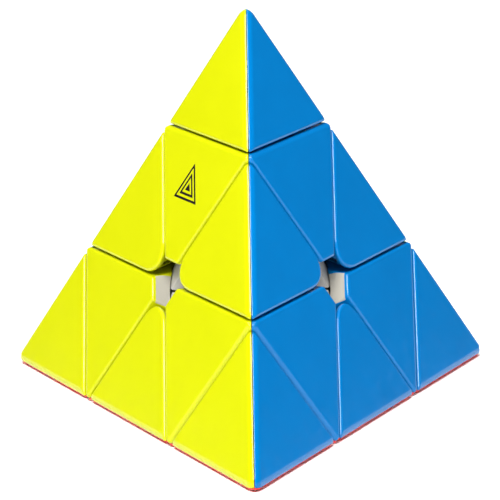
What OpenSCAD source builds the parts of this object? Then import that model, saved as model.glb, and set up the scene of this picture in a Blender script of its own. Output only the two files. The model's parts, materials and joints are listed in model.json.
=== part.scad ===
// Pyramid twisty puzzle: a tetrahedron cut into four tips, four axial pieces and six edge
// pieces, carried on a four-armed core. The origin is the middle of the core.

/* [Body] */
// Width of the puzzle over two of its rounded corners
puzzle_w = 98; // [85:1:130]
// Radius of the rounding along the edges of every piece
edge_r = 1.5; // [1:0.1:2]
// Corner radius of the edge pieces at the middle of a face
eye_r = 4.5; // [2.5:0.1:5]
// How far the axial pieces stop short of the middle of a face
eye_trim = 4.3; // [2.5:0.1:5]
// Gap between neighbouring pieces at the cuts
gap = 0.4; // [0.3:0.05:0.6]
// Wall of the coloured shells
wall = 1.5; // [1:0.1:1.8]
// Gap at the seam between two shells of one piece
seam = 0.1; // [0.04:0.02:0.2]

/* [Mechanism] */
// Depth from a face of the puzzle to the spherical track of the feet
lip = 4; // [3.4:0.1:5]
// Thickness of the feet, from the core ball to the track
foot_t = 4.7; // [3.5:0.1:5.5]
// How far a foot reaches past its cut, under the next axial piece
hook = 3.2; // [2:0.1:3.6]
// Width of the stem that joins a foot to its edge piece
stem_w = 3.4; // [2.4:0.1:3.8]
// Length of the stem, from one face of the puzzle towards the other
stem_l = 10; // [6:0.5:11]
// Thickness of the skirt and the plate of an axial frame
plate_t = 1.6; // [1:0.1:2.4]
// Clearance between inner parts that slide past each other
run_gap = 0.3; // [0.2:0.05:0.5]
// Clearance between a shell and the frame that it is clipped to
fit_gap = 0.08; // [0.05:0.01:0.15]
// Clearance at the bearings of the frames and the tip bases
bearing_gap = 0.05; // [0.03:0.01:0.1]

/* [Pivots] */
// Radius of the arms of the core
arm_r = 3; // [2.4:0.1:3.4]
// Length of an arm outside the core ball
arm_len = 13; // [8:0.5:15]
// Wall of the tube that turns on an arm
tube_wall = 1.9; // [1.2:0.1:2]
// Radius of the screws
screw_r = 1.5; // [1.2:0.1:1.7]
// Depth of a screw in its arm
screw_grip = 11; // [6:0.5:12]
// How much the thread bites into the pilot hole
thread_bite = 0.2; // [0.1:0.05:0.3]
// Radius of a screw head
head_r = 3; // [2.6:0.1:3.3]
// Height of a screw head
head_h = 2.2; // [1.4:0.1:2.6]
// Thickness of the washer under a screw head
washer_t = 0.6; // [0.4:0.1:1]
// Radius of the spring wire
wire_r = 0.32; // [0.2:0.02:0.4]
// Turns of a spring
coils = 4; // [3:1:5]
// Thickness of the floor of a tip base
floor_t = 1.5; // [1:0.1:2]
// Radius of the hub that carries a tip
hub_r = 4; // [3.2:0.1:4.4]

/* [Hidden] */
$fn = 64;
ball_sides = 16;
cavity_sides = 6;
cavity_r = 0.4;
far = 150;

CORNERS = ["top", "front", "left", "right"];
// The colour of the face opposite each corner
COLOURS = ["red", "green", "blue", "yellow"];
PAINT = ["#e8322b", "#12a04a", "#0a7fd0", "#e8f00a"];
WHITE = "#f1efe8";
// Unit vectors from the core to the corners. They add up to nothing.
AXES = [
    [0, 0, 1],
    [0, -2 * sqrt(2) / 3, -1 / 3],
    [-sqrt(2 / 3), sqrt(2) / 3, -1 / 3],
    [sqrt(2 / 3), sqrt(2) / 3, -1 / 3],
];
EDGES = [for (i = [0:2]) for (j = [i + 1:3]) [i, j]];
// Every piece is drawn once and then turned into its places. The tip and the axial piece are
// drawn at the top corner and the edge piece between top and front, each with its yellow shell.
TOP = 0;
FRONT = 1;
LEFT = 2;
YELLOW = 3;

// A ball in a corner of the tetrahedron takes this many of its radii off the width
corner_loss = 2 * (sqrt(6) - 1);
sharp_edge = puzzle_w + corner_loss * edge_r;
height = sharp_edge * sqrt(2 / 3);
// Distances from the core, along an axis, to the face, the layer cut and the tip cut
face_d = height / 4;
cut_d = height / 12;
tip_d = 5 * height / 12;

track_r = face_d - lip;
core_r = track_r - foot_t;
hook_d = cut_d - hook;
tube_r = arm_r + bearing_gap + tube_wall;
arm_top = core_r + arm_len;
tip_floor = tip_d + gap / 2 + wall + fit_gap;
spring_seat = tip_floor + floor_t;
// The sine of the angle between an axis and a face beside it
slope = 2 * sqrt(2) / 3;
// The head sits as high as the hollow of the tip is wide enough for it
head_top = 3 * (face_d - wall - slope * (head_r + run_gap));
head_seat = head_top - head_h;
spring_top = head_seat - washer_t;
spring_r = head_r - wire_r - run_gap;
cup_r = spring_r + wire_r + run_gap;

function tip_node(i) = str(CORNERS[i], "_tip");
function axial_node(i) = str(CORNERS[i], "_axial");
function edge_node(e) = str(CORNERS[e[0]], "_", CORNERS[e[1]], "_edge");
function shell_node(owner, face) = str(owner, "_", COLOURS[face], "_shell");
function others(used) = [for (k = [0:3]) if (len(search(k, used)) == 0) k];

function unit(v) = v / norm(v);

// Three square unit vectors, the first along axis a and the second square to a and b
function triad(a, b) =
    let (side = unit(cross(AXES[a], AXES[b]))) [AXES[a], side, cross(side, AXES[a])];

// The point that lies a along axis i, b along axis j and c along axis k
function spot(i, a, j, b, k, c) =
    0.75 * (a * AXES[i] + b * AXES[j] + c * AXES[k] - (a + b + c) * AXES[6 - i - j - k]);

// The way from the middle of a face towards one of its corners
function towards(corner, face) = unit(AXES[corner] + AXES[face] / 3);

// A corner point p near the middle of a face becomes an arc, with inward the way into its piece
function eye_arc(p, inward, face) =
    let (across = cross(AXES[face], inward), extra = eye_r - edge_r)
    [for (t = [-60:40:60]) p + extra * (2 * inward - cos(t) * inward + sin(t) * across)];

// The same corner point becomes two, where the piece is cut off short of the middle
function eye_flat(p, inward, face, stop) =
    let (across = cross(AXES[face], inward), shift = stop - p * inward)
    [for (side = [-1, 1]) p + shift * (inward + side * tan(30) * across)];

// The corner points of each piece, set in from its own planes by the given depth
function tip_points(depth) =
    let (out = depth - face_d, low = tip_d + gap / 2 + depth)
    concat(
        [spot(1, out, 2, out, 3, out)],
        [for (j = [1:3]) let (r = others([TOP, j])) spot(TOP, low, r[0], out, r[1], out)]
    );

function axial_points(depth) =
    let (out = depth - face_d, top = tip_d - gap / 2 - depth, side = cut_d - gap / 2 - depth)
    concat(
        [for (j = [1:3]) for (k = others([TOP, j])) spot(TOP, top, j, side, k, out)],
        [for (f = [1:3])
            let (r = others([TOP, f]), p = spot(f, out, r[0], side, r[1], side))
            each eye_flat(p, towards(TOP, f), f, eye_trim + depth)]
    );

function edge_points(depth) =
    let (out = depth - face_d, cut = cut_d + gap / 2 + depth)
    concat(
        [for (j = [TOP, FRONT]) spot(LEFT, out, YELLOW, out, j, cut)],
        [for (f = [LEFT, YELLOW])
            let (p = spot(f, out, TOP, cut, FRONT, cut))
            each eye_arc(p, -towards(LEFT + YELLOW - f, f), f)]
    );

// Turns what is drawn for corner or face a, with b beside it, into the place of new_a and new_b
module turned(a, b, new_a, new_b) {
    old = triad(a, b);
    new = triad(new_a, new_b);
    multmatrix([for (r = [0:2])
        concat([for (c = [0:2]) new[0][r] * old[0][c] + new[1][r] * old[1][c] + new[2][r] * old[2][c]], 0)
    ]) children();
}

// Turns the Z axis onto a direction
module aim(way) {
    rotate([0, acos(way[2] / norm(way)), atan2(way[1], way[0])]) children();
}

// Ball that reaches its full radius at its flat ends, which face the yellow face
module ball(r, sides) {
    aim(AXES[YELLOW]) sphere(r = r / cos(180 / sides), $fn = sides);
}

// Rounded body over a list of corner points
module rounded(points) {
    hull() for (p = points) translate(p) ball(edge_r, ball_sides);
}

// Hollow inside a piece, given its corner points at the hollow's depth
module hollow(points) {
    hull() for (p = points) translate(p) ball(cavity_r, cavity_sides);
}

// Everything short of a distance along a direction
module short_of(way, distance) {
    aim(way) translate([-far, -far, distance - 2 * far]) cube(2 * far);
}

// Upright round bar between two heights
module bar(r, from, to) {
    translate([0, 0, from]) cylinder(r = r, h = to - from);
}

// The share of a piece that carries the yellow face, beside the shells of rival faces
module yellow_share(rivals) {
    intersection_for(k = rivals) short_of(AXES[YELLOW] - AXES[k], -seam / 2);
}

module tip_shell() {
    difference() {
        intersection() {
            rounded(tip_points(edge_r));
            yellow_share([FRONT, LEFT]);
        }
        hollow(tip_points(wall + cavity_r));
        bar(hub_r + fit_gap, tip_d, tip_floor);
    }
}

module tip_base() {
    difference() {
        union() {
            intersection() {
                hollow(tip_points(wall + fit_gap + cavity_r));
                short_of(AXES[TOP], spring_seat);
            }
            bar(hub_r, tip_d + bearing_gap, tip_floor + floor_t / 2);
            bar(cup_r + floor_t / 2, tip_floor + floor_t / 2, spring_seat + floor_t);
        }
        bar(cup_r, spring_seat, spring_top);
        bar(screw_r + bearing_gap, tip_d - gap, spring_top);
    }
}

module axial_shell() {
    difference() {
        intersection() {
            rounded(axial_points(edge_r));
            yellow_share([FRONT, LEFT]);
        }
        hollow(axial_points(wall + cavity_r));
        sphere(r = track_r + run_gap);
        bar(tube_r + fit_gap, track_r, tip_d);
    }
}

// Skirt over the feet, plate under the tip, and the tube that turns on an arm of the core
module axial_frame() {
    top = tip_d - bearing_gap;
    plate_low = tip_d - gap / 2 - wall - fit_gap - plate_t;
    inner = axial_points(wall + fit_gap + cavity_r);
    difference() {
        union() {
            difference() {
                intersection() {
                    hollow(inner);
                    sphere(r = track_r + run_gap + plate_t);
                }
                sphere(r = track_r + run_gap);
            }
            difference() {
                hollow(inner);
                short_of(AXES[TOP], plate_low);
            }
            bar(tube_r, core_r / 2, top);
        }
        sphere(r = core_r + bearing_gap);
        bar(arm_r + bearing_gap, 0, arm_top + run_gap);
        bar(screw_r + bearing_gap, arm_top, top + gap);
    }
}

module edge_shell() {
    difference() {
        intersection() {
            rounded(edge_points(edge_r));
            yellow_share([LEFT]);
        }
        hollow(edge_points(wall + cavity_r));
        sphere(r = track_r + fit_gap);
        stem(core_r, fit_gap);
    }
}

// Block from a distance up into the neck, with some clearance round it
module stem(from, clearance) {
    size = [stem_w + 2 * clearance, stem_l + 2 * clearance];
    aim(AXES[TOP] + AXES[FRONT]) translate([-size[0] / 2, -size[1] / 2, from])
        cube([size[0], size[1], face_d - from]);
}

// The neck stands in the hollow of the shells, and the foot slides between core and track
module edge_foot() {
    intersection() {
        union() {
            hollow(edge_points(wall + fit_gap + cavity_r));
            stem(core_r + foot_t / 2, 0);
            intersection() {
                difference() {
                    sphere(r = track_r);
                    sphere(r = core_r + run_gap);
                }
                foot_space();
            }
        }
        short_of(AXES[LEFT], hook_d - gap / 2);
        short_of(AXES[YELLOW], hook_d - gap / 2);
    }
}

// The space past both cuts of an edge piece, as deep as its foot reaches
module foot_space() {
    intersection_for(k = [TOP, FRONT]) short_of(-AXES[k], -hook_d - gap / 2);
}

module core() {
    color(WHITE) difference() {
        union() {
            sphere(r = core_r);
            for (way = AXES) aim(way) bar(arm_r, core_r / 2, arm_top);
        }
        for (way = AXES) aim(way)
            bar(screw_r - thread_bite, arm_top - screw_grip - arm_r, arm_top + gap);
    }
}

// Pan-head screw with a cross recess
module pivot_screw() {
    slot_w = head_r / 4;
    slot_l = head_r * 1.2;
    slot_d = head_h * 0.6;
    difference() {
        union() {
            bar(screw_r, arm_top - screw_grip, head_seat + head_h / 2);
            bar(head_r, head_seat, head_top);
        }
        for (turn = [0, 90])
            rotate(turn) translate([-slot_l / 2, -slot_w / 2, head_top - slot_d])
                cube([slot_l, slot_w, slot_d + gap]);
    }
}

module pivot_screws() {
    color("silver") for (way = AXES) aim(way) pivot_screw();
}

module spring_washers() {
    color("silver") for (way = AXES) aim(way) difference() {
        bar(head_r, spring_top, head_seat);
        bar(screw_r + bearing_gap, spring_top - gap, head_seat + gap);
    }
}

// Round wire wound as a helix, built as rings of points joined by faces
module coil_spring(r, wire, from, to, turns) {
    sides = 6;
    steps = 12 * turns;
    rings = [for (n = [0:steps]) let (turn = 30 * n, rise = from + (to - from) * n / steps)
        for (s = [0:sides - 1]) let (a = 360 * s / sides, out = r + wire * cos(a))
            [out * cos(turn), out * sin(turn), rise + wire * sin(a)]];
    walls = [for (n = [0:steps - 1]) for (s = [0:sides - 1])
        let (a = n * sides + s, b = n * sides + (s + 1) % sides)
        each [[a, b, b + sides], [a, b + sides, a + sides]]];
    ends = [[for (s = [sides - 1:-1:0]) s], [for (s = [0:sides - 1]) steps * sides + s]];
    polyhedron(points = rings, faces = concat(walls, ends));
}

module tension_springs() {
    slack = wire_r + bearing_gap;
    color("gray") for (way = AXES) aim(way)
        coil_spring(spring_r, wire_r, spring_seat + slack, spring_top - slack, coils);
}

// A part of the tip or the axial piece, in the place of corner i with face f
module at_corner(i, f) {
    turned(TOP, YELLOW, i, f) children();
}

// A part of the edge piece, in the place that lies between faces f and g
module at_edge(f, g) {
    turned(YELLOW, LEFT, f, g) children();
}

core();
pivot_screws();
tension_springs();
spring_washers();
for (i = [0:3]) {
    first = others([i])[0];
    color(WHITE) at_corner(i, first) tip_base();
    color(WHITE) at_corner(i, first) axial_frame();
    for (f = others([i])) {
        color(PAINT[f]) at_corner(i, f) tip_shell();
        color(PAINT[f]) at_corner(i, f) axial_shell();
    }
}
for (e = EDGES) {
    beside = others(e);
    color(WHITE) at_edge(beside[0], beside[1]) edge_foot();
    for (f = beside)
        color(PAINT[f]) at_edge(f, beside[0] + beside[1] - f) edge_shell();
}
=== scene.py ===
"""Looks of the pyramid twisty puzzle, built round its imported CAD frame."""

import json
import math

import bpy
from mathutils import Matrix, Vector

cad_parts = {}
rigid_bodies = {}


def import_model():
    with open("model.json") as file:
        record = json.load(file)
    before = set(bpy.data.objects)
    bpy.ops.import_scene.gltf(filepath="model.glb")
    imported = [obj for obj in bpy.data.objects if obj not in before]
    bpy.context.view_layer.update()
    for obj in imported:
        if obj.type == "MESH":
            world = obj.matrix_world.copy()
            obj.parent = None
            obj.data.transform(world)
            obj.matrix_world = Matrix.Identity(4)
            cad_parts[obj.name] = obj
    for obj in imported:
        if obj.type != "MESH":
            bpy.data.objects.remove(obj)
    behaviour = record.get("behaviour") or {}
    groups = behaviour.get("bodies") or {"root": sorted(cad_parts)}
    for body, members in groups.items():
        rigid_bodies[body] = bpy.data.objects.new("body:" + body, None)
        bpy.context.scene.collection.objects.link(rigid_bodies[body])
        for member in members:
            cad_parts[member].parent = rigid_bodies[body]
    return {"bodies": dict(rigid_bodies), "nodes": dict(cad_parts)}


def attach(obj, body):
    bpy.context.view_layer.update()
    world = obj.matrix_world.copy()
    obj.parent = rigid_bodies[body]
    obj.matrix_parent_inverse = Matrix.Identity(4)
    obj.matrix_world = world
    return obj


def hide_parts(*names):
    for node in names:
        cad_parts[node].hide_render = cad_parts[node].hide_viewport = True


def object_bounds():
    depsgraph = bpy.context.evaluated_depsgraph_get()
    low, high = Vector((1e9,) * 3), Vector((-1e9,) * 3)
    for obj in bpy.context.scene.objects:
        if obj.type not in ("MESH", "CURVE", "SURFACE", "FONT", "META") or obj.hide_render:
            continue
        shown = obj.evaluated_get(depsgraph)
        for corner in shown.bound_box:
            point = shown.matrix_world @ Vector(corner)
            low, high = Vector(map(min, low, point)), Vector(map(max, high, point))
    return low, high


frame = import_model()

cad_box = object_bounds()
MM = 0.001

# ---------------------------------------------------------------- the puzzle's own geometry
CORNERS = {
    "top": Vector((0, 0, 1)),
    "front": Vector((0, -2 * math.sqrt(2) / 3, -1 / 3)),
    "left": Vector((-math.sqrt(2 / 3), math.sqrt(2) / 3, -1 / 3)),
    "right": Vector((math.sqrt(2 / 3), math.sqrt(2) / 3, -1 / 3)),
}
# Each colour's face lies opposite one corner
FACES = {"red": "top", "green": "front", "blue": "left", "yellow": "right"}
SIDES = ("front", "left", "right")

# Distances from the core: to a face, to the cut under a layer and to the cut under a tip
FACE_D = -cad_box[0][2]
CUT_D = FACE_D / 3
TIP_D = FACE_D * 5 / 3
# Gap between neighbouring pieces, and between two shells of one piece
GAP = 0.4 * MM
SEAM = 0.1 * MM
# Rounding of the seams, the outer edges, the cut edges and the axial pieces' upper edges
SEAM_ROUND = 0.1 * MM
EDGE_R = 1.6 * MM
CUT_R = 0.6 * MM
CROWN_R = 1.2 * MM
# Rounding of the edge pieces' inner ridge, which shows at the middle of a face
RIDGE_R = 5.0 * MM
# How far the axial pieces stop short of the middle of a face
EYE_TRIM = 4.3 * MM
WALL = 1.5 * MM
# The spherical track of the feet, its depth from a face and its clearance
LIP = 4.0 * MM
TRACK_R = FACE_D - LIP
TRACK_GAP = 0.3 * MM
FIT_GAP = 0.08 * MM
# Clear radius round the tip's hub and round the axial piece's bearing tube
HUB_R = 4.08 * MM
TUBE_R = 5.03 * MM
# Slot for an edge piece's stem (width, length), and the core ball under the feet
STEM = (3.56 * MM, 10.16 * MM)
FOOT_T = 4.7 * MM
CORE_R = TRACK_R - FOOT_T
# The print on the top axial piece: its place in the face, and the rings of its triangles
PRINT_UP = 19.2 * MM
PRINT_ACROSS = 1.0 * MM
PRINT_RINGS = [(-1.0, 0.55 * MM), (1.05 * MM, 1.55 * MM), (2.05 * MM, 2.55 * MM)]
# Where the axial shells' end wall takes the white of the inner frame, darkened with painted shade:
# past this depth, inside this radius
END_WALL_DEPTH = 0.9 * MM
END_WALL_R = EYE_TRIM + 1.1 * MM
# How far the floor lies under the face that the puzzle stands on
FLOOR_GAP = 0.05 * MM

# ---------------------------------------------------------------- modelling settings
# How near counts as on a plane, and which angles between faces are sharp or shaded smooth
BISECT_SNAP = 1e-7
ON_PLANE = 1e-6
SHARP_BELOW = math.radians(165)
SMOOTH_BELOW = math.radians(32)
RIDGE_SEGMENTS = 10
EDGE_SEGMENTS = 8
SEAM_SEGMENTS = 2


def plane(corner, distance):
    """The space short of a distance from the core, towards a corner."""
    return CORNERS[corner], distance


def behind(corner, distance):
    """The space past a distance from the core, towards a corner."""
    return -CORNERS[corner], -distance


def face_planes(names, depth):
    """The faces opposite the named corners, moved inwards by a depth."""
    return [behind(n, depth - FACE_D) for n in names]


def towards(corner, face):
    """Unit vector in a face, from its middle to one of its corners."""
    return (CORNERS[corner] + CORNERS[face] / 3).normalized()


def tip_planes(depth):
    """The outline of the top tip, moved inwards by a depth."""
    return [behind("top", TIP_D + GAP / 2 + depth)] + face_planes(SIDES, depth)


def axial_planes(depth):
    """The outline of the top axial piece, its upper cut first."""
    planes = [plane("top", TIP_D - GAP / 2 - depth), behind("top", CUT_D + GAP / 2 + depth)]
    planes += [plane(s, CUT_D - GAP / 2 - depth) for s in SIDES] + face_planes(SIDES, depth)
    return planes + [(-towards("top", s), -EYE_TRIM - depth) for s in SIDES]


def edge_planes(depth):
    """The outline of the edge piece between the top and front corners."""
    planes = [behind(s, CUT_D + GAP / 2 + depth) for s in ("top", "front")]
    return planes + face_planes(("left", "right"), depth)


# ---------------------------------------------------------------- modelling tools
def pick(obj):
    """Makes an object the only selected one."""
    bpy.ops.object.select_all(action="DESELECT")
    obj.select_set(True)
    bpy.context.view_layer.objects.active = obj
    return obj


def keep(obj, planes):
    """Cuts away all of a solid that lies past any of the planes, and closes the cuts."""
    pick(obj)
    bpy.ops.object.mode_set(mode="EDIT")
    for normal, distance in planes:
        bpy.ops.mesh.select_all(action="SELECT")
        bpy.ops.mesh.bisect(
            plane_co=normal * distance,
            plane_no=normal,
            use_fill=True,
            clear_outer=True,
            threshold=BISECT_SNAP,
        )
    bpy.ops.mesh.select_all(action="SELECT")
    bpy.ops.mesh.normals_make_consistent(inside=False)
    bpy.ops.object.mode_set(mode="OBJECT")
    return obj


def block(name, planes):
    """A cube trimmed to the space inside the planes."""
    bpy.ops.mesh.primitive_cube_add(size=8 * FACE_D)
    obj = bpy.context.object
    obj.name = obj.data.name = name
    return keep(obj, planes)


def finish_modifier(obj, modifier):
    """Applies a modifier, so that its result is the mesh."""
    pick(obj)
    bpy.ops.object.modifier_apply(modifier=modifier.name)


def edge_angles(mesh):
    """The two faces' inside angle at every edge, by edge index."""
    faces = {}
    for polygon in mesh.polygons:
        for key in polygon.edge_keys:
            faces.setdefault(key, []).append(polygon.normal)
    angles = []
    for edge in mesh.edges:
        pair = faces.get(tuple(sorted(edge.vertices)), [])
        angles.append(math.pi - pair[0].angle(pair[1]) if len(pair) == 2 else math.pi)
    return angles


def round_edges(obj, radius_of, segments):
    """Rolls the radius that radius_of(a, b) gives for its ends along each sharp edge."""
    mesh = obj.data
    offsets = []
    for edge, angle in zip(mesh.edges, edge_angles(mesh)):
        a, b = (mesh.vertices[i].co for i in edge.vertices)
        sharp = angle < SHARP_BELOW
        offsets.append(radius_of(a, b) / math.tan(angle / 2) if sharp else 0.0)
    widest = max(offsets)
    weights = mesh.attributes.get("bevel_weight_edge") or mesh.attributes.new(
        "bevel_weight_edge", "FLOAT", "EDGE"
    )
    for slot, offset in zip(weights.data, offsets):
        slot.value = offset / widest
    bevel = obj.modifiers.new("rounding", "BEVEL")
    bevel.limit_method = "WEIGHT"
    bevel.width = widest
    bevel.segments = segments
    bevel.use_clamp_overlap = False
    bevel.loop_slide = False
    finish_modifier(obj, bevel)
    obj.data.attributes.remove(obj.data.attributes["bevel_weight_edge"])


def subtract(obj, tool):
    """Cuts a tool's shape out of a solid, and removes the tool."""
    cutter = obj.modifiers.new("cut", "BOOLEAN")
    cutter.operation = "DIFFERENCE"
    cutter.solver = "EXACT"
    cutter.object = tool
    finish_modifier(obj, cutter)
    bpy.data.objects.remove(tool)


def ball(radius):
    bpy.ops.mesh.primitive_uv_sphere_add(radius=radius, segments=96, ring_count=48)
    return bpy.context.object


def round_bar(radius, low, high):
    """An upright cylinder on the top axis, between two heights."""
    bpy.ops.mesh.primitive_cylinder_add(
        radius=radius, depth=high - low, location=(0, 0, (low + high) / 2), vertices=64
    )
    bar = pick(bpy.context.object)
    bpy.ops.object.transform_apply(location=True, rotation=False, scale=False)
    return bar


def seam_plane(face, rival):
    """The side of a seam on which a face's shell lies."""
    away = (CORNERS[face] - CORNERS[rival]).normalized()
    return away, -SEAM / 2


def planes_along(a, b, planes):
    """How many of the planes hold the whole edge from a to b."""
    return sum(all(abs(p.dot(n) - d) < ON_PLANE for p in (a, b)) for n, d in planes)


def shell(name, planes, hollow_planes, face, rivals, crown=(), ridge=None):
    """One coloured shell: the rounded piece, split at its seams and hollowed out."""
    def rounding(a, b):
        if planes_along(a, b, faces) == 2:
            return EDGE_R
        return CROWN_R if planes_along(a, b, crown) else CUT_R

    obj = block(name, planes)
    if ridge:
        round_edges(obj, lambda a, b: RIDGE_R if ridge(a, b) else 0, RIDGE_SEGMENTS)
    faces = face_planes(SIDES, 0)
    round_edges(obj, rounding, EDGE_SEGMENTS)
    seams = [seam_plane(face, r) for r in rivals]
    keep(obj, seams)
    round_edges(
        obj, lambda a, b: SEAM_ROUND if planes_along(a, b, seams) == 1 else 0, SEAM_SEGMENTS
    )
    subtract(obj, block("hollow", hollow_planes))
    return obj


def smooth(obj):
    """Shades the roundings smooth and leaves the flats flat."""
    pick(obj)
    bpy.ops.object.shade_smooth_by_angle(angle=SMOOTH_BELOW)
    weighted = obj.modifiers.new("even shading", "WEIGHTED_NORMAL")
    weighted.keep_sharp = True
    weighted.weight = 100
    finish_modifier(obj, weighted)


def stem_slot():
    """The slot for the stem, between the top and front axes."""
    out = (CORNERS["top"] + CORNERS["front"]).normalized()
    across = (CORNERS["left"] - CORNERS["right"]).normalized()
    along = across.cross(out)
    width, length = STEM
    planes = [(along * s, width / 2) for s in (1, -1)] + [(across * s, length / 2) for s in (1, -1)]
    return block("slot", planes + [(-out, -CORE_R), (out, FACE_D)])


def near_ridge(a, b):
    """True on the inner ridge of the edge piece, where its two cuts meet."""
    return planes_along(a, b, [behind(c, CUT_D + GAP / 2) for c in ("top", "front")]) == 2


def make_tip_shell():
    """The yellow shell of the top tip, the pattern for every tip's shells."""
    obj = shell("tip_shell", tip_planes(0), tip_planes(WALL), "right", ("front", "left"))
    subtract(obj, round_bar(HUB_R, TIP_D - GAP, TIP_D + 3 * WALL))
    smooth(obj)
    return obj


def make_axial_shell():
    """The yellow shell of the top axial piece, the pattern for every axial piece's."""
    outside = axial_planes(0)
    obj = shell(
        "axial_shell", outside, axial_planes(WALL), "right", ("front", "left"), outside[:1]
    )
    subtract(obj, ball(TRACK_R + TRACK_GAP))
    subtract(obj, round_bar(TUBE_R, TRACK_R, TIP_D + GAP))
    smooth(obj)
    return obj


def make_edge_shell():
    """The yellow shell of the top front edge piece, the pattern for every edge piece's."""
    obj = shell(
        "edge_shell", edge_planes(0), edge_planes(WALL), "right", ("left",), ridge=near_ridge
    )
    subtract(obj, ball(TRACK_R + FIT_GAP))
    subtract(obj, stem_slot())
    smooth(obj)
    return obj


def turn_onto(corner, face):
    """The turn that takes the top corner and the yellow face to the given ones."""
    def basis(a, b):
        return Matrix((a, b, a.cross(b))).transposed()

    start = basis(CORNERS["top"], CORNERS["right"])
    end = basis(CORNERS[corner], CORNERS[face])
    return (end @ start.inverted()).to_4x4()


def edge_turn(ends, face):
    """The turn that takes the edge pattern between two corners, its yellow side to a face."""
    for near, far in (ends, ends[::-1]):
        turn = turn_onto(near, face)
        if (turn @ CORNERS["front"] - CORNERS[far]).length < ON_PLANE:
            return turn


def place_shell(pattern, body, colour, turn):
    """A copy of a pattern, turned onto its body in place of that body's CAD shell."""
    name = f"{body}_{colour}_shell"
    obj = pattern.copy()
    obj.data = pattern.data.copy()
    obj.name = obj.data.name = name + "_moulding"
    bpy.context.scene.collection.objects.link(obj)
    obj.data.transform(turn)
    obj.data.update()
    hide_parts(name)
    obj.data.materials.clear()
    plastics = AXIAL_MATERIALS if body.endswith("_axial") else MATERIALS
    printed = name == "top_axial_yellow_shell"
    obj.data.materials.append(PRINTED if printed else plastics[colour])
    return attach(obj, body)


# ---------------------------------------------------------------- materials
# The white inner parts, their deeper tone, the white at the face holes (darker and warmer than the
# inner parts' white, as painted shade of the recess) and the printing ink
WHITE = (0.6, 0.59, 0.56)
DEEPER_WHITE = (0.55, 0.54, 0.51)
END_WALL_WHITE_AND_SHADE = (0.38, 0.36, 0.31)
INK = (0.012, 0.008, 0.01)


class Value:
    """A number socket that can be used in arithmetic."""

    def __init__(self, material, socket):
        self.material, self.socket = material, socket

    def _math(self, operation, *inputs):
        return self.material.node("ShaderNodeMath", {"operation": operation}, inputs)

    def __add__(self, other):
        return self._math("ADD", self, other)

    def __sub__(self, other):
        return self._math("SUBTRACT", self, other)

    def __rsub__(self, other):
        return self._math("SUBTRACT", other, self)

    def __mul__(self, other):
        return self._math("MULTIPLY", self, other)

    def over(self, level):
        """1 where the number is over the level, else 0."""
        return self._math("GREATER_THAN", self, level)

    __radd__, __rmul__ = __add__, __mul__


class Material:
    """A node material and its one way of adding nodes."""

    def __init__(self, name):
        self.data = bpy.data.materials.new(name)
        self.data.use_nodes = True
        self.tree = self.data.node_tree
        self.shader = next(n for n in self.tree.nodes if n.type == "BSDF_PRINCIPLED")
        coordinates = self.tree.nodes.new("ShaderNodeTexCoord")
        self.place = Value(self, coordinates.outputs["Object"])

    def node(self, kind, settings=None, inputs=(), output=0):
        made = self.tree.nodes.new(kind)
        for key, value in (settings or {}).items():
            if key == "stops":
                ramp = made.color_ramp.elements
                for i, (at, shade) in enumerate(value):
                    stop = ramp[i] if i < 2 else ramp.new(at)
                    stop.position, stop.color = at, (shade, shade, shade, 1)
            else:
                setattr(made, key, value)
        pairs = inputs.items() if isinstance(inputs, dict) else enumerate(inputs)
        for key, value in pairs:
            if isinstance(value, Value):
                self.tree.links.new(value.socket, made.inputs[key])
            else:
                made.inputs[key].default_value = value
        return Value(self, made.outputs[output])

    def along(self, way):
        """Distance along a direction, from the origin."""
        return self.node(
            "ShaderNodeVectorMath", {"operation": "DOT_PRODUCT"}, (self.place, tuple(way)), "Value"
        )

    def noise(self, scale, detail=2.0, roughness=0.5):
        return self.node(
            "ShaderNodeTexNoise",
            {"noise_dimensions": "3D"},
            {"Vector": self.place, "Scale": scale, "Detail": detail, "Roughness": roughness},
        )

    def ramp(self, value, *stops):
        return self.node("ShaderNodeValToRGB", {"stops": stops}, {"Fac": value})

    def mix(self, factor, a, b):
        return self.node(
            "ShaderNodeMix", {"data_type": "RGBA"}, {0: factor, 6: a, 7: b}, output=2
        )

    def bump(self, height, distance, strength=1.0, under=None):
        inputs = {"Height": height, "Distance": distance, "Strength": strength}
        if under:
            inputs["Normal"] = under
        return self.node("ShaderNodeBump", None, inputs)

    def set(self, **inputs):
        for key, value in inputs.items():
            socket = self.shader.inputs[key.replace("_", " ")]
            if isinstance(value, Value):
                self.tree.links.new(value.socket, socket)
            else:
                socket.default_value = value


def end_wall(m, face):
    """Mask of the white wall inside an axial piece's cut-off end, at the middle of a face, where
    the frame's white is laid with painted shade.
    """
    out = CORNERS[face]
    depth = m.along(out) + FACE_D
    beside = m.node("ShaderNodeVectorMath", {"operation": "CROSS_PRODUCT"}, (m.place, tuple(out)))
    radius = m.node("ShaderNodeVectorMath", {"operation": "LENGTH"}, (beside,), "Value")
    return depth.over(END_WALL_DEPTH) * (1 - radius.over(END_WALL_R))


def moulded_plastic(name, colour, deeper, end_face=None, print_mask=None):
    """Glossy moulded plastic: faint swirls of pigment, soft mould texture and light wear."""
    m = Material(name)
    swirl = m.ramp(m.noise(70, 3.0, 0.6), (0.3, 0.0), (0.7, 1.0))
    base = m.mix(swirl, (*deeper, 1), (*colour, 1))
    if end_face:
        # The end wall gets the inner frame's white, made darker and warmer than the other white
        # parts: painted shade of the recess
        base = m.mix(end_wall(m, end_face), base, (*END_WALL_WHITE_AND_SHADE, 1))
    if print_mask:
        base = m.mix(print_mask(m), base, (*INK, 1))
    wear = m.ramp(m.noise(420, 6.0, 0.7), (0.45, 0.0), (0.8, 1.0))
    m.set(Base_Color=base, Roughness=0.13 + wear * 0.1)
    skin = m.bump(m.noise(260, 1.5), 0.00002, 0.35)
    m.set(Normal=m.bump(m.noise(5200, 2.0), 0.000004, 0.3, skin))
    m.set(IOR=1.46, Specular_IOR_Level=0.3)
    return m.data


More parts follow.
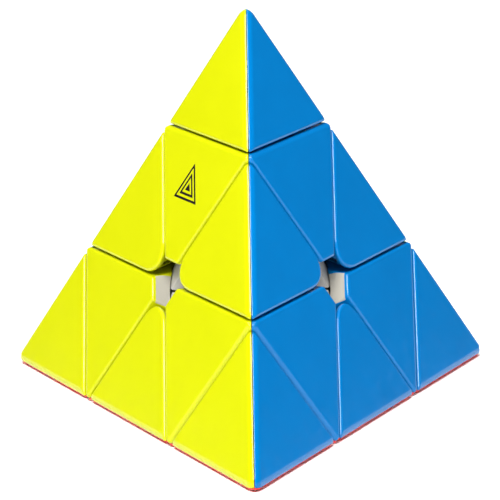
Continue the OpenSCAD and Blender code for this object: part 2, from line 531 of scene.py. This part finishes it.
def triangle_print(m):
    """Mask of the maker's print on the yellow face: three nested triangles, in black ink."""
    up = towards("top", "right")
    across = (-CORNERS["right"]).cross(up)
    middle = up * PRINT_UP + across * PRINT_ACROSS
    reach = None
    for turn in (90, 210, 330):
        way = across * math.cos(math.radians(turn)) - up * math.sin(math.radians(turn))
        side = m.along(way) - middle.dot(way)
        reach = side if reach is None else m.node(
            "ShaderNodeMath", {"operation": "MAXIMUM"}, (reach, side)
        )
    return sum(reach.over(inner) - reach.over(outer) for inner, outer in PRINT_RINGS)


def satin_plastic(name, colour, deeper):
    """Satin white plastic of the inner parts, with a fine spark-eroded grain."""
    m = Material(name)
    tone = m.ramp(m.noise(90, 4.0, 0.6), (0.3, 0.0), (0.75, 1.0))
    m.set(Base_Color=m.mix(tone, (*deeper, 1), (*colour, 1)))
    m.set(Roughness=0.38 + m.noise(900, 3.0) * 0.12)
    m.set(Normal=m.bump(m.noise(6500, 2.0), 0.000008, 0.4))
    m.set(IOR=1.5)
    return m.data


def plated_steel(name):
    """Bright zinc-plated steel with fine turning marks."""
    m = Material(name)
    cloud = m.ramp(m.noise(600, 4.0, 0.6), (0.3, 0.0), (0.7, 1.0))
    m.set(Base_Color=m.mix(cloud, (0.48, 0.48, 0.49, 1), (0.68, 0.68, 0.7, 1)))
    m.set(Metallic=1.0, Roughness=0.24 + cloud * 0.14)
    m.set(Normal=m.bump(m.noise(3000, 3.0), 0.000006, 0.5))
    return m.data


# Each colour's plastic, and the deeper tone of its pigment swirls
TONES = {
    "yellow": ((0.49, 0.515, 0.0022), (0.47, 0.5, 0.0015)),
    "blue": ((0.0, 0.147, 0.415), (0.0, 0.137, 0.39)),
    "red": ((0.85, 0.055, 0.04), (0.81, 0.045, 0.034)),
    "green": ((0.0, 0.27, 0.075), (0.0, 0.245, 0.064)),
}
MATERIALS = {c: moulded_plastic(f"{c}_moulded_plastic", *TONES[c]) for c in TONES}
AXIAL_MATERIALS = {
    c: moulded_plastic(f"{c}_axial_plastic", *TONES[c], end_face=FACES[c]) for c in TONES
}
PRINTED = moulded_plastic(
    "printed_yellow_plastic", *TONES["yellow"], end_face="right", print_mask=triangle_print
)
MATERIALS["white"] = satin_plastic("white_satin_plastic", WHITE, DEEPER_WHITE)
MATERIALS["steel"] = plated_steel("plated_steel")


def floor_material():
    """Matt pale board."""
    m = Material("pale_floor")
    m.set(Base_Color=m.mix(m.noise(6, 2.0), (0.93, 0.93, 0.93, 1), (0.95, 0.95, 0.95, 1)))
    m.set(Roughness=0.9, Specular_IOR_Level=0.1)
    return m.data


# ---------------------------------------------------------------- camera, light and floor
CAMERA_AZIMUTH, CAMERA_ELEVATION, CAMERA_ROLL = -0.285, 15.135, -0.823
CAMERA_DISTANCE = 590 * MM
CAMERA_AIM = Vector((0.1, 0, 10.6)) * MM
CAMERA_LENS = 211.2
# Each softbox's azimuth, elevation, distance in metres, size in metres and glow
SOFTBOXES = {
    "high_front_softbox": (-12, 56, 1.0, (0.5, 0.32), 34),
    "low_front_softbox": (0, 14, 1.2, (0.7, 0.4), 4),
    "overhead_softbox": (180, 80, 1.5, (1.8, 1.8), 0.9),
    "rear_softbox": (180, 62, 1.4, (0.9, 0.6), 4),
}
WORLD_GLOW = 0.05
FLOOR_SIZE = 12


def direction(azimuth, elevation):
    """Unit vector to a point seen at an azimuth from the front and an elevation, in degrees."""
    turn, rise = math.radians(azimuth), math.radians(elevation)
    level = math.cos(rise)
    return Vector((math.sin(turn) * level, -math.cos(turn) * level, math.sin(rise)))


def facing(away, place):
    """The matrix of a camera or light at a place, looking against a direction."""
    return Matrix.Translation(place) @ away.to_track_quat("Z", "Y").to_matrix().to_4x4()


def make_camera():
    """A long lens a little above the puzzle, with a front edge of it in the middle."""
    data = bpy.data.cameras.new("camera")
    data.sensor_width = 36.0
    data.lens = CAMERA_LENS
    camera = bpy.data.objects.new("camera", data)
    bpy.context.scene.collection.objects.link(camera)
    away = direction(CAMERA_AZIMUTH, CAMERA_ELEVATION)
    roll = Matrix.Rotation(math.radians(CAMERA_ROLL), 4, "Z")
    camera.matrix_world = facing(away, CAMERA_AIM + away * CAMERA_DISTANCE) @ roll
    bpy.context.scene.camera = camera


def make_softbox(name, azimuth, elevation, distance, size, glow):
    """An area light that faces the puzzle, with its glow given as radiance."""
    data = bpy.data.lights.new(name, "AREA")
    data.shape = "RECTANGLE"
    data.size, data.size_y = size
    data.energy = glow * size[0] * size[1] * math.pi
    light = bpy.data.objects.new(name, data)
    bpy.context.scene.collection.objects.link(light)
    way = direction(azimuth, elevation)
    light.matrix_world = facing(way, way * distance)


def make_stage():
    """A plain pale floor, soft studio lights and a plain view of their colours."""
    bpy.ops.mesh.primitive_plane_add(size=FLOOR_SIZE, location=(0, 0, -FACE_D - FLOOR_GAP))
    floor = bpy.context.object
    floor.name = "floor"
    floor.data.materials.append(floor_material())
    world = bpy.data.worlds.new("studio")
    bpy.context.scene.world = world
    world.use_nodes = True
    background = world.node_tree.nodes["Background"]
    background.inputs["Color"].default_value = (1, 1, 1, 1)
    background.inputs["Strength"].default_value = WORLD_GLOW
    for name, settings in SOFTBOXES.items():
        make_softbox(name, *settings)
    bpy.context.scene.view_settings.view_transform = "Standard"


make_camera()
make_stage()

# ---------------------------------------------------------------- the puzzle
for name, node in frame["nodes"].items():
    is_steel = name in ("pivot_screws", "tension_springs", "spring_washers")
    node.data.materials.clear()
    node.data.materials.append(MATERIALS["steel" if is_steel else "white"])

tip_shell = make_tip_shell()
axial_shell = make_axial_shell()
edge_shell = make_edge_shell()
for body in frame["bodies"]:
    *ends, kind = body.split("_")
    for colour, face in FACES.items():
        if kind == "core" or face in ends:
            continue
        if kind == "edge":
            place_shell(edge_shell, body, colour, edge_turn(ends, face))
        else:
            pattern = tip_shell if kind == "tip" else axial_shell
            place_shell(pattern, body, colour, turn_onto(ends[0], face))
for pattern in (tip_shell, axial_shell, edge_shell):
    bpy.data.objects.remove(pattern)
